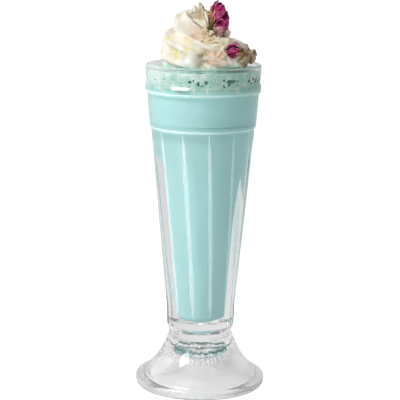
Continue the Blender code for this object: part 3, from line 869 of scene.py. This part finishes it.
def petal_sheet(cage, bud, petal, layer, columns, rows):
    """One wrinkled petal wrapped round the flower: one side edge is tucked under, the other lies on top."""
    grid = []
    for j in range(rows + 1):
        v = j / rows
        share = petal.start + (petal.reach - petal.start) * v
        width = petal_width(petal, v)
        line = []
        for i in range(columns + 1):
            u = i / columns * 2 - 1
            ridge = crinkle(u, v, petal.seed)
            angle = petal.angle + u * width + 0.2 * v
            lift = petal.depth + petal.tuck * u + CRINKLE_DEPTH * (ridge - 0.6) * smoothstep(4 * v + 0.2)
            lift += petal.curl * smoothstep((v - 0.75) / 0.25) * (0.4 + ridge)
            wave = 0.03 * math.sin(6 * u + petal.seed) + 0.02 * math.sin(17 * u)
            at = flower_point(bud, angle, min(share + wave * v, 0.97), lift)
            if v < petal.stalk:
                at = bud.knob.lerp(at, smoothstep(v / petal.stalk))
            vert = cage.verts.new(at)
            # The ridge attribute is lowered on the tucked side as painted shade where the neighbouring petal
            # laps over it
            vert[layer["ridge"]] = ridge - 0.6 * smoothstep(-u / 0.3) * (1 - petal.stalk)
            # rim marks the edge that lies on top, for a painted highlight
            vert[layer["rim"]] = max(0.0, u) ** 5
            vert[layer["tip"]] = v ** 6
            vert[layer["along"]] = share
            vert[layer["tone"]] = petal.tone
            line.append(vert)
        grid.append(line)
    grid_faces(cage, grid)


def sheets_mesh(name, bud, petals, columns, rows, thick):
    """Mesh object of several thin petals, each given a thickness."""
    cage = bmesh.new()
    layer = {key: cage.verts.layers.float.new(key) for key in ("ridge", "rim", "tip", "along", "tone")}
    for petal in petals:
        petal_sheet(cage, bud, petal, layer, columns, rows)
    return thickened(mesh_object(name, cage), thick)


def make_bud(name, bud, seed, layers, pale, lift):
    """A bud of crinkled petals, layer by layer from the heart outwards, each turned by the golden angle.

    One pale outer petal stands at the angle and lift given.
    """
    rng = random.Random(seed)
    petals = []
    for number, (count, depth, reach, width) in enumerate(layers):
        for k in range(count):
            angle = math.tau * (k + rng.uniform(-0.12, 0.12)) / count + number * 2.4
            petals.append(Petal(angle, width * rng.uniform(0.9, 1.1), 0.04, reach * rng.uniform(0.92, 1.04),
                                depth, 0.05, rng.uniform(-0.04, 0.09), rng.uniform(0.0, 0.5), 0.0,
                                rng.uniform(0, 50)))
    petals.append(Petal(math.radians(pale), 0.6, 0.05, 0.40, lift, 0.03, 0.1, 1.0, 0.0, seed))
    return sheets_mesh(name, bud, petals, 26, 30, PETAL_THICK)


def make_sepals(name, bud, sepals, wide, seed):
    """Dried calyx: narrow brittle sepals that run up the flower from the knob where the stem broke off."""
    rng = random.Random(seed)
    petals = []
    for angle, reach in sepals:
        petals.append(Petal(math.radians(angle), wide * rng.uniform(0.05, 0.10), 0.02, reach, 0.08, 0.02,
                            rng.uniform(0.0, 0.2), rng.uniform(0, 1), 0.3, rng.uniform(0, 50)))
    item = sheets_mesh(name, bud, petals, 6, 26, SEPAL_THICK)
    with edited(item.data) as cage:
        add_hip(cage, bud)
    return item


def add_hip(cage, bud):
    """Knob where the stem broke off, drawn out to the bottom of the flower."""
    toward = flower_point(bud, 0, 0, -0.25) - bud.knob
    made = bmesh.ops.create_uvsphere(cage, u_segments=24, v_segments=20, radius=bud.knob_size)
    for vert in made["verts"]:
        rough = 1 + 0.3 * noise.noise(vert.co * 900)
        along = max(0.0, vert.co.dot(toward.normalized()) / bud.knob_size)
        vert.co = bud.knob + vert.co * rough * (1 - 0.25 * along) + toward * along ** 1.5


def make_shards():
    """Dry curled leaf shards, pale in the peak and browner low on the right."""
    cage = bmesh.new()
    edge = cage.verts.layers.float.new("edge")
    for number, (base, tip, width, age) in enumerate(SHARDS):
        base, tip = Vector(base) * MM, Vector(tip) * MM
        side = (tip - base).cross(Vector((0.2, 1.0, 0.1))).normalized() * width * MM / 2
        bow = side.cross(tip - base).normalized() * width * MM * 0.35
        rows = []
        for j in range(SHARD_ROWS + 1):
            v = j / SHARD_ROWS
            half = math.sin(math.pi * (0.12 + 0.85 * v)) ** 0.6
            row = []
            for i in range(SHARD_COLUMNS + 1):
                u = 2 * i / SHARD_COLUMNS - 1
                rough = noise.noise(Vector((u * 1.6, v * 2.4, number * 5.1)))
                ragged = 1 + 0.35 * noise.noise(Vector((u * 2, v * 6, number)))
                across = side * u * half * ragged
                vert = cage.verts.new(base.lerp(tip, v) + across + bow * (u * u + 1.8 * rough))
                vert[edge] = max(abs(u) ** 5, v ** 8, age + rough * (0.3 if age else 0))
                row.append(vert)
            rows.append(row)
        grid_faces(cage, rows)
    return thickened(mesh_object("leaf_shards", cage), LEAF_THICK)


def make_stem():
    """Thin dark stem that lies on the cream beside the large bud's knob."""
    stem, spline = poly_curve("thin_stem_path", [Vector(at) * MM for at in smooth_line(STEM, 4)])
    stem.data.bevel_depth = 0.24 * MM
    stem.data.bevel_resolution = 2
    stem.data.use_fill_caps = True
    for i, point in enumerate(spline.points):
        point.radius = 0.8 + 0.4 * noise.noise(Vector((i * 0.7, 0, 0)))
    return welded(stem, "thin_stem")


# Materials

def new_material(name):
    made = bpy.data.materials.new(name)
    made.use_nodes = True
    return made, made.node_tree, made.node_tree.nodes["Principled BSDF"]


def axis(tree, index):
    """One of the object's own coordinates: 0 runs across, 2 upwards."""
    return node(tree, "ShaderNodeSeparateXYZ", node(tree, "ShaderNodeTexCoord", out=3), out=index)


def speckle(tree, scale, detail):
    at = node(tree, "ShaderNodeTexCoord", out=3)
    return node(tree, "ShaderNodeTexNoise", named={"Vector": at, "Scale": scale, "Detail": detail})


def spread(value, low, high, to_low=0.0, to_high=1.0):
    """A value's range from low to high, stretched to another range."""
    return node(value.id_data, "ShaderNodeMapRange", value, low, high, to_low, to_high)


def mix(share, first, second):
    made = share.id_data.nodes.new("ShaderNodeMix")
    made.data_type = "RGBA"
    for index, value in ((0, share), (6, first), (7, second)):
        feed(made.inputs[index], value)
    return made.outputs[2]


def attribute(tree, name):
    return node(tree, "ShaderNodeAttribute", attribute_name=name, out=2)


def make_mottle_group():
    """Shader group: one colour clouded with another."""
    tree, given, result = new_group(
        "mottle", "ShaderNodeTree",
        [("Scale", FLOAT, 300.0), ("Detail", FLOAT, 3.0), ("Start", FLOAT, 0.0), ("End", FLOAT, 1.0),
         ("First", COLOUR, None), ("Second", COLOUR, None)], [("Colour", COLOUR)])
    scale, detail, start, end, first, second = given[:6]
    feed(result[0], mix(spread(speckle(tree, scale, detail), start, end), first, second))


def make_grain_group():
    """Shader group: fine grain, as a roughness between two values and as a height."""
    tree, given, result = new_group(
        "fine_grain", "ShaderNodeTree",
        [("Scale", FLOAT, 300.0), ("Detail", FLOAT, 3.0), ("Smoothest", FLOAT, 0.4), ("Roughest", FLOAT, 0.6),
         ("Bump Scale", FLOAT, 900.0), ("Bump Detail", FLOAT, 4.0)],
        [("Roughness", FLOAT), ("Height", FLOAT)])
    scale, detail, smoothest, roughest, bump_scale, bump_detail = given[:6]
    feed(result[0], spread(speckle(tree, scale, detail), 0.3, 0.7, smoothest, roughest))
    feed(result[1], speckle(tree, bump_scale, bump_detail))


def make_band_group():
    """Shader group: a band that fades out to its edges and changes along its length and across the glass."""
    tree, given, result = new_group(
        "gathered_band", "ShaderNodeTree",
        [(label, FLOAT, 0.0) for label in ("Strength", "Place", "Near", "Far", "Near Share", "Far Share")],
        [("Alpha", FLOAT), ("Roughness", FLOAT)])
    strength, place_x, near_gap, far_gap, near_share, far_share = given[:6]
    along = spread(speckle(tree, 60.0, 2.0), 0.3, 0.7, times(strength, 0.55), strength)
    gap = size_of(minus(axis(tree, 0), place_x))
    share = times(along, spread(gap, near_gap, far_gap, near_share, far_share))
    feed(result[0], times(attribute(tree, "core"), share))
    feed(result[1], spread(along, times(strength, 0.5), strength, 0.6, 0.4))


def placed(tree, name, *values):
    """Place a shader group with its own values."""
    return node(tree, "ShaderNodeGroup", *values, node_tree=bpy.data.node_groups[name])


def mottle(tree, scale, detail, first, second, start=0.0, end=1.0):
    return placed(tree, "mottle", scale, detail, start, end, first, second)


def finish_shader(shader, colour, roughness, specular, height, strength, depth):
    """Feed a shader its colour, roughness and bump, whose depth is in millimetres."""
    feed(shader.inputs["Base Color"], colour)
    feed(shader.inputs["Roughness"], roughness)
    shader.inputs["Specular IOR Level"].default_value = specular
    raised = node(shader.id_data, "ShaderNodeBump",
                  named={"Height": height, "Strength": strength, "Distance": depth * MM})
    feed(shader.inputs["Normal"], raised)


def soften(shader, radius, scale):
    """Let light through the surface, as milk and cream do; the scale is in millimetres."""
    shader.inputs["Subsurface Weight"].default_value = 0.3
    shader.inputs["Subsurface Radius"].default_value = radius
    shader.inputs["Subsurface Scale"].default_value = scale * MM


def show(tree, shader):
    feed(tree.nodes["Material Output"].inputs["Surface"], shader)


def glass_material():
    """Clear pressed glass with a faint ripple, which lets lamp light through to the drink."""
    made, tree, shader = new_material("clear_pressed_glass")
    height = axis(tree, 2)
    upper = most(spread(height, 16 * MM, 32 * MM), spread(height, 8 * MM, 4 * MM))
    tint = mix(upper, (0.915, 0.90, 0.915), (0.985, 0.985, 0.99))
    collar = spread(height, (BAND_BOTTOM_Z + 4) * MM, COLLAR_BOTTOM_Z * MM, 0.0, 0.13)
    foot = spread(height, 34 * MM, 24 * MM, 0.0, 0.07)
    smudge = spread(speckle(tree, 45.0, 5.0), 0.40, 0.70, 0.03, 0.06)
    finish_shader(shader, tint, plus(smudge, plus(collar, foot)), 0.5, speckle(tree, 70.0, 2.0), 0.05, 0.12)
    shader.inputs["Transmission Weight"].default_value = 1.0
    shader.inputs["IOR"].default_value = 1.5
    shader.inputs["Metallic"].default_value = 0.0
    clear = node(tree, "ShaderNodeBsdfTransparent", (0.97, 0.98, 0.98))
    shadow = node(tree, "ShaderNodeLightPath", out=1)
    show(tree, node(tree, "ShaderNodeMixShader", shadow, shader.outputs[0], clear))
    return made


def milk_material():
    """Turquoise milk: painted paler on the left and deeper on the right as painted shade, and greener under
    the froth.
    """
    made, tree, shader = new_material("turquoise_milk")
    deep = mottle(tree, 35.0, 3.0, (0.39, 0.69, 0.68), (0.43, 0.725, 0.715))
    pale = mottle(tree, 35.0, 3.0, (0.45, 0.725, 0.722), (0.50, 0.765, 0.762))
    # Painted shade: paler on the left, where the light falls, and deeper on the right
    colour = mix(spread(axis(tree, 0), -12 * MM, 14 * MM), pale, deep)
    top = spread(axis(tree, 2), (MILK_TOP_Z - 7) * MM, (MILK_TOP_Z - 1) * MM, 0.0, 0.8)
    grain = placed(tree, "fine_grain", 35.0, 3.0, 0.35, 0.5, 400.0, 2.0)
    finish_shader(shader, mix(top, colour, (0.37, 0.66, 0.60)), grain, 0.0,
                  grain.node.outputs["Height"], 0.05, 0.1)
    soften(shader, (0.6, 1.0, 1.0), 3.0)
    return made


def froth_material():
    """Bubbly foam: pale and mint patches, bubbles with light rims as painted highlight, and round gaps
    halfway up painted dark as painted shade.
    """
    made, tree, shader = new_material("milk_froth")
    at = node(tree, "ShaderNodeTexCoord", out=3)
    across, height = axis(tree, 0), axis(tree, 2)
    cells = node(tree, "ShaderNodeTexVoronoi", named={"Vector": at, "Scale": 620.0},
                 feature="DISTANCE_TO_EDGE")
    bubble = node(tree, "ShaderNodeTexVoronoi", named={"Vector": at, "Scale": 430.0})
    level = spread(height, (MILK_TOP_Z + 1.2) * MM, (MILK_TOP_Z + 2.6) * MM)
    above = spread(height, (MILK_TOP_Z + 7.4) * MM, (MILK_TOP_Z + 5.6) * MM)
    gather = times(spread(speckle(tree, 120.0, 2.0), 0.30, 0.42),
                   spread(across, -24 * MM, -2 * MM, 0.35, 1.0))
    chance = node(tree, "ShaderNodeSeparateColor", bubble.node.outputs["Color"])
    size = times(spread(chance, 0.05, 0.9, 0.0, 0.78), times(gather, times(level, above)))
    beyond = minus(bubble, size)
    # Painted highlight: light rims round the bubbles
    rim_highlights = times(spread(size_of(minus(beyond, 0.08)), 0.08, 0.02), spread(size, 0.05, 0.2))
    pale = mottle(tree, 420.0, 3.0, (0.66, 0.82, 0.78), (0.88, 0.93, 0.90))
    right = spread(across, -18 * MM, 22 * MM, -0.06, 0.05)
    patches = spread(plus(speckle(tree, 130.0, 4.0), right), 0.42, 0.60)
    mint = mix(patches, pale, (0.37, 0.66, 0.56))
    foam = mix(times(spread(cells, 0.09, 0.02), 0.45), mint, (0.34, 0.52, 0.47))
    light = mix(times(rim_highlights, 0.6), foam, (0.86, 0.93, 0.90))
    # Painted shade: round gaps painted near-black, as if seen into holes in the froth
    colour = mix(spread(beyond, 0.0, -0.05), light, (0.04, 0.17, 0.13))
    finish_shader(shader, colour, spread(cells, 0.0, 0.3, 0.6, 0.25), 0.1, cells, 0.6, 0.5)
    return made


def crumb_material():
    """Torn bits of dried petal and leaf."""
    made, tree, shader = new_material("petal_crumbs")
    tan = mottle(tree, 500.0, 2.0, (0.56, 0.34, 0.13), (0.94, 0.84, 0.58), 0.35, 0.6)
    pink = mottle(tree, 420.0, 2.0, tan, (0.50, 0.14, 0.18), 0.62, 0.68)
    dark = mottle(tree, 460.0, 2.0, pink, (0.16, 0.09, 0.03), 0.43, 0.38)
    grain = placed(tree, "fine_grain", 900.0, 2.0, 0.6, 0.9, 1500.0, 3.0)
    finish_shader(shader, dark, grain, 0.2, grain.node.outputs["Height"], 0.4, 0.1)
    return made


def leaf_material():
    """Bleached leaf, brown in blotches and along its torn edge."""
    made, tree, shader = new_material("bleached_leaf")
    pale = mottle(tree, 350.0, 4.0, (0.74, 0.70, 0.56), (0.94, 0.90, 0.74))
    brown = mix(spread(speckle(tree, 170.0, 3.0), 0.52, 0.70, 0.0, 0.7), pale, (0.50, 0.30, 0.12))
    edged = mix(times(attribute(tree, "edge"), 0.7), brown, (0.28, 0.15, 0.045))
    grain = placed(tree, "fine_grain", 700.0, 3.0, 0.6, 0.9, 1200.0, 4.0)
    finish_shader(shader, edged, grain, 0.2, grain.node.outputs["Height"], 0.5, 0.15)
    return made


def band_material(name):
    """Gleam or shade inside the glass."""
    made, tree, shader = new_material(name)
    colour, strength, where, shares = BANDS[name]
    shader.inputs["Base Color"].default_value = (*colour, 1)
    shader.inputs["Specular IOR Level"].default_value = 0.0
    band = placed(tree, "gathered_band", strength, *(value * MM for value in where), *shares)
    feed(shader.inputs["Alpha"], band)
    feed(shader.inputs["Roughness"], band.node.outputs["Roughness"])
    return made


def laid_mark(under, mark):
    """Lay a blotchy mark over a colour, close to its places: a stain, painted shade or painted light."""
    tree = under.id_data
    share = None
    for point in mark.places:
        gap = node(tree, "ShaderNodeVectorMath", node(tree, "ShaderNodeTexCoord", out=3), Vector(point) * MM,
                   operation="DISTANCE", out=1)
        here = spread(gap, mark.reach * MM, mark.reach * 0.35 * MM)
        share = here if share is None else most(share, here)
    blotch = spread(speckle(tree, 190.0, 5.0), 0.40, 0.62, 0.0, mark.strength)
    return mix(times(share, blotch), under, mark.colour)


def cream_material():
    """Warm white with painted shade, darker and yellower, in its folds; mint where the froth soaks in and tan
    near the rosebuds.
    """
    made, tree, shader = new_material("whipped_cream")
    fat = mottle(tree, 90.0, 3.0, (0.865, 0.835, 0.75), (0.85, 0.805, 0.71))
    # Painted shade: a darker, yellower colour where the crease attribute finds a hollow
    colour = mix(spread(attribute(tree, "crease"), 0.0, 0.8), fat, (0.82, 0.765, 0.59))
    for mark in STAINS_AND_PAINTED_LIGHT:
        colour = laid_mark(colour, mark)
    level = minus(axis(tree, 2), times(speckle(tree, 80.0, 3.0), 7 * MM))
    soak = spread(level, (FROTH_TOP_Z + 1.0) * MM, (FROTH_TOP_Z - 2.0) * MM)
    grain = placed(tree, "fine_grain", 300.0, 3.0, 0.35, 0.55, 900.0, 4.0)
    finish_shader(shader, mix(soak, colour, (0.52, 0.80, 0.70)), grain, 0.2,
                  grain.node.outputs["Height"], 0.3, 0.2)
    soften(shader, (1.0, 0.8, 0.5), 1.5)
    return made


def petal_material():
    """Dry magenta petals: near-black painted shade between folds, pink painted highlight along them and on
    the top edge; dark tips, pale old edges.
    """
    made, tree, shader = new_material("dried_rose_petal")
    ridge = attribute(tree, "ridge")
    deep = mottle(tree, 250.0, 4.0, (0.020, 0.001, 0.006), (0.09, 0.002, 0.030))
    fresh = mottle(tree, 180.0, 3.0, (0.36, 0.006, 0.10), (0.64, 0.030, 0.21))
    fold = mottle(tree, 300.0, 3.0, (0.56, 0.10, 0.28), (0.85, 0.36, 0.52))
    # Painted shade between the folds and painted highlight along them, from the ridge attribute
    lit = mix(spread(ridge, 0.72, 0.95), mix(spread(ridge, 0.20, 0.62), deep, fresh), fold)
    # Painted highlight along the edge that lies on top
    rim = mix(times(attribute(tree, "rim"), 0.8), lit, fold)
    old = mix(spread(attribute(tree, "tone"), 0.5, 1.0), rim, (0.74, 0.38, 0.44))
    tipped = mix(times(attribute(tree, "tip"), 0.7), old, (0.10, 0.004, 0.06))
    finish_shader(shader, tipped, spread(ridge, 0.0, 1.0, 0.75, 0.45), 0.08, speckle(tree, 1300.0, 5.0),
                  0.5, 0.15)
    return made


def sepal_material():
    """Dry brittle sepals, dark by the knob and streaked tan further up."""
    made, tree, shader = new_material("dried_sepal")
    base = mottle(tree, 500.0, 4.0, (0.04, 0.035, 0.012), (0.16, 0.11, 0.03))
    tan = mottle(tree, 700.0, 3.0, (0.40, 0.19, 0.05), (0.88, 0.66, 0.34), 0.4, 0.6)
    colour = mix(spread(attribute(tree, "along"), 0.02, 0.14), base, tan)
    grain = placed(tree, "fine_grain", 700.0, 3.0, 0.6, 0.9, 1500.0, 4.0)
    finish_shader(shader, colour, grain, 0.2, grain.node.outputs["Height"], 0.5, 0.15)
    return made


# Stage: floor, lights, surroundings and camera

def make_floor():
    """Plain pale floor that glows white to the camera and less to every other ray."""
    cage = bmesh.new()
    bmesh.ops.create_grid(cage, x_segments=1, y_segments=1, size=8.0)
    bmesh.ops.translate(cage, verts=cage.verts, vec=(0.0, 0.0, -0.05 * MM))
    floor = mesh_object("pale_floor", cage)
    finish, tree, shader = new_material("pale_floor")
    feed(shader.inputs["Base Color"], mottle(tree, 3.0, 2.0, (0.24, 0.24, 0.24), (0.26, 0.26, 0.26)))
    shader.inputs["Roughness"].default_value = 0.9
    shader.inputs["Specular IOR Level"].default_value = 0.0
    seen, lit = (node(tree, "ShaderNodeAddShader", shader.outputs[0],
                      node(tree, "ShaderNodeEmission", (1, 1, 1), glow)) for glow in (1.0, FLOOR_GLOW))
    show(tree, node(tree, "ShaderNodeMixShader", node(tree, "ShaderNodeLightPath", out=0), lit, seen))
    floor.data.materials.append(finish)


def softbox(name, at, width, height, power):
    """Large soft lamp that faces the middle of the glass."""
    lamp = bpy.data.lights.new(name, "AREA")
    lamp.shape = "RECTANGLE"
    lamp.size = width
    lamp.size_y = height
    lamp.energy = power
    item = place(name, lamp)
    item.location = at
    item.rotation_euler = (LAMPS_AIM - Vector(at)).to_track_quat("-Z", "Y").to_euler()


def make_surroundings():
    """White to the eye; what the glass and the lit surfaces see is bright behind and darker at the right."""
    world = bpy.data.worlds.new("studio")
    world.use_nodes = True
    tree = world.node_tree
    shown = tree.nodes["Background"]
    shown.inputs["Color"].default_value = (1, 1, 1, 1)
    shown.inputs["Strength"].default_value = 1.0
    across, depth = (node(tree, "ShaderNodeSeparateXYZ", node(tree, "ShaderNodeTexCoord", out=0), out=index)
                     for index in (0, 1))
    level = times(spread(depth, -0.2, 0.75, 0.55, 1.05), spread(across, -0.9, 0.9, 1.06, 0.50))
    felt = node(tree, "ShaderNodeBackground", (1, 1, 1), level)
    camera_ray = node(tree, "ShaderNodeLightPath", out=0)
    both = node(tree, "ShaderNodeMixShader", camera_ray, felt, shown.outputs[0])
    feed(tree.nodes["World Output"].inputs["Surface"], both)
    bpy.context.scene.world = world


def make_camera():
    data = bpy.data.cameras.new("camera")
    data.sensor_width = 36
    data.lens = CAMERA_LENS
    item = place("camera", data)
    turn = Matrix.Rotation(math.pi / 2 - CAMERA_PITCH, 4, "X") @ Matrix.Rotation(CAMERA_ROLL, 4, "Z")
    item.matrix_world = Matrix.Translation(CAMERA_AT) @ turn
    bpy.context.scene.camera = item


def make_filled_glass():
    """The glass with its bands of gathered light and shade, the drink and the froth."""
    turning, ring = turning_tree(), ring_tree()
    for make, finish, cad_node in ((make_glass, glass_material(), "glass"),
                                   (make_milkshake, milk_material(), "milkshake"),
                                   (make_froth, froth_material(), "froth")):
        finish_piece(make(turning, finish), finish, cad_node)
    bands = {name: band_material(name) for name in BANDS}
    finish_piece(make_rib_lights(ring, bands["gathered_light"]), bands["gathered_light"], "glass")
    for name, places, band in RINGS:
        for piece in make_rings(name, places, turning, bands[band]):
            finish_piece(piece, bands[band], "glass")
    bpy.data.node_groups.remove(turning)
    bpy.data.node_groups.remove(ring)


def make_topping():
    """The cream with its crumbs and leaf shards, and the two rosebuds."""
    scatter = crumb_tree()
    cream, bits = make_cream(), crumb_material()
    crumbs = apply_tree(place("petal_crumbs", cream.data.copy()), scatter, finish=bits)
    flakes = apply_tree(place("petal_flakes", cream.data.copy()), scatter, finish=bits,
                        density=FLAKES_PER_SQUARE_METRE, size=FLAKE_SIZE, seed=8)
    bpy.data.node_groups.remove(scatter)
    finish_piece(make_shards(), leaf_material(), "whipped_cream")
    for piece in (crumbs, flakes):
        finish_piece(piece, bits, "whipped_cream")
    finish_piece(cream, cream_material(), "whipped_cream")
    petals, sepals = petal_material(), sepal_material()
    large = make_bud("large_bud_petals", LARGE_BUD, 4, LARGE_LAYERS, 215, 0.15)
    finish_piece(large, petals, "rosebud_large")
    small = make_bud("small_bud_petals", SMALL_BUD, 9, SMALL_LAYERS, 72, 0.24)
    finish_piece(small, petals, "rosebud_small")
    large_calyx = make_sepals("large_bud_sepals", LARGE_BUD, LARGE_SEPALS, 1.0, 5)
    finish_piece(large_calyx, sepals, "calyx_large")
    small_calyx = make_sepals("small_bud_sepals", SMALL_BUD, SMALL_SEPALS, 2.0, 7)
    finish_piece(small_calyx, sepals, "calyx_small")
    finish_piece(make_stem(), sepals, "calyx_large")


def main():
    make_mottle_group()
    make_grain_group()
    make_band_group()
    make_camera()
    make_floor()
    make_surroundings()
    for name, lamp in LAMPS.items():
        softbox(name, *lamp)
    bpy.context.scene.view_settings.view_transform = "Standard"
    make_filled_glass()
    make_topping()


main()
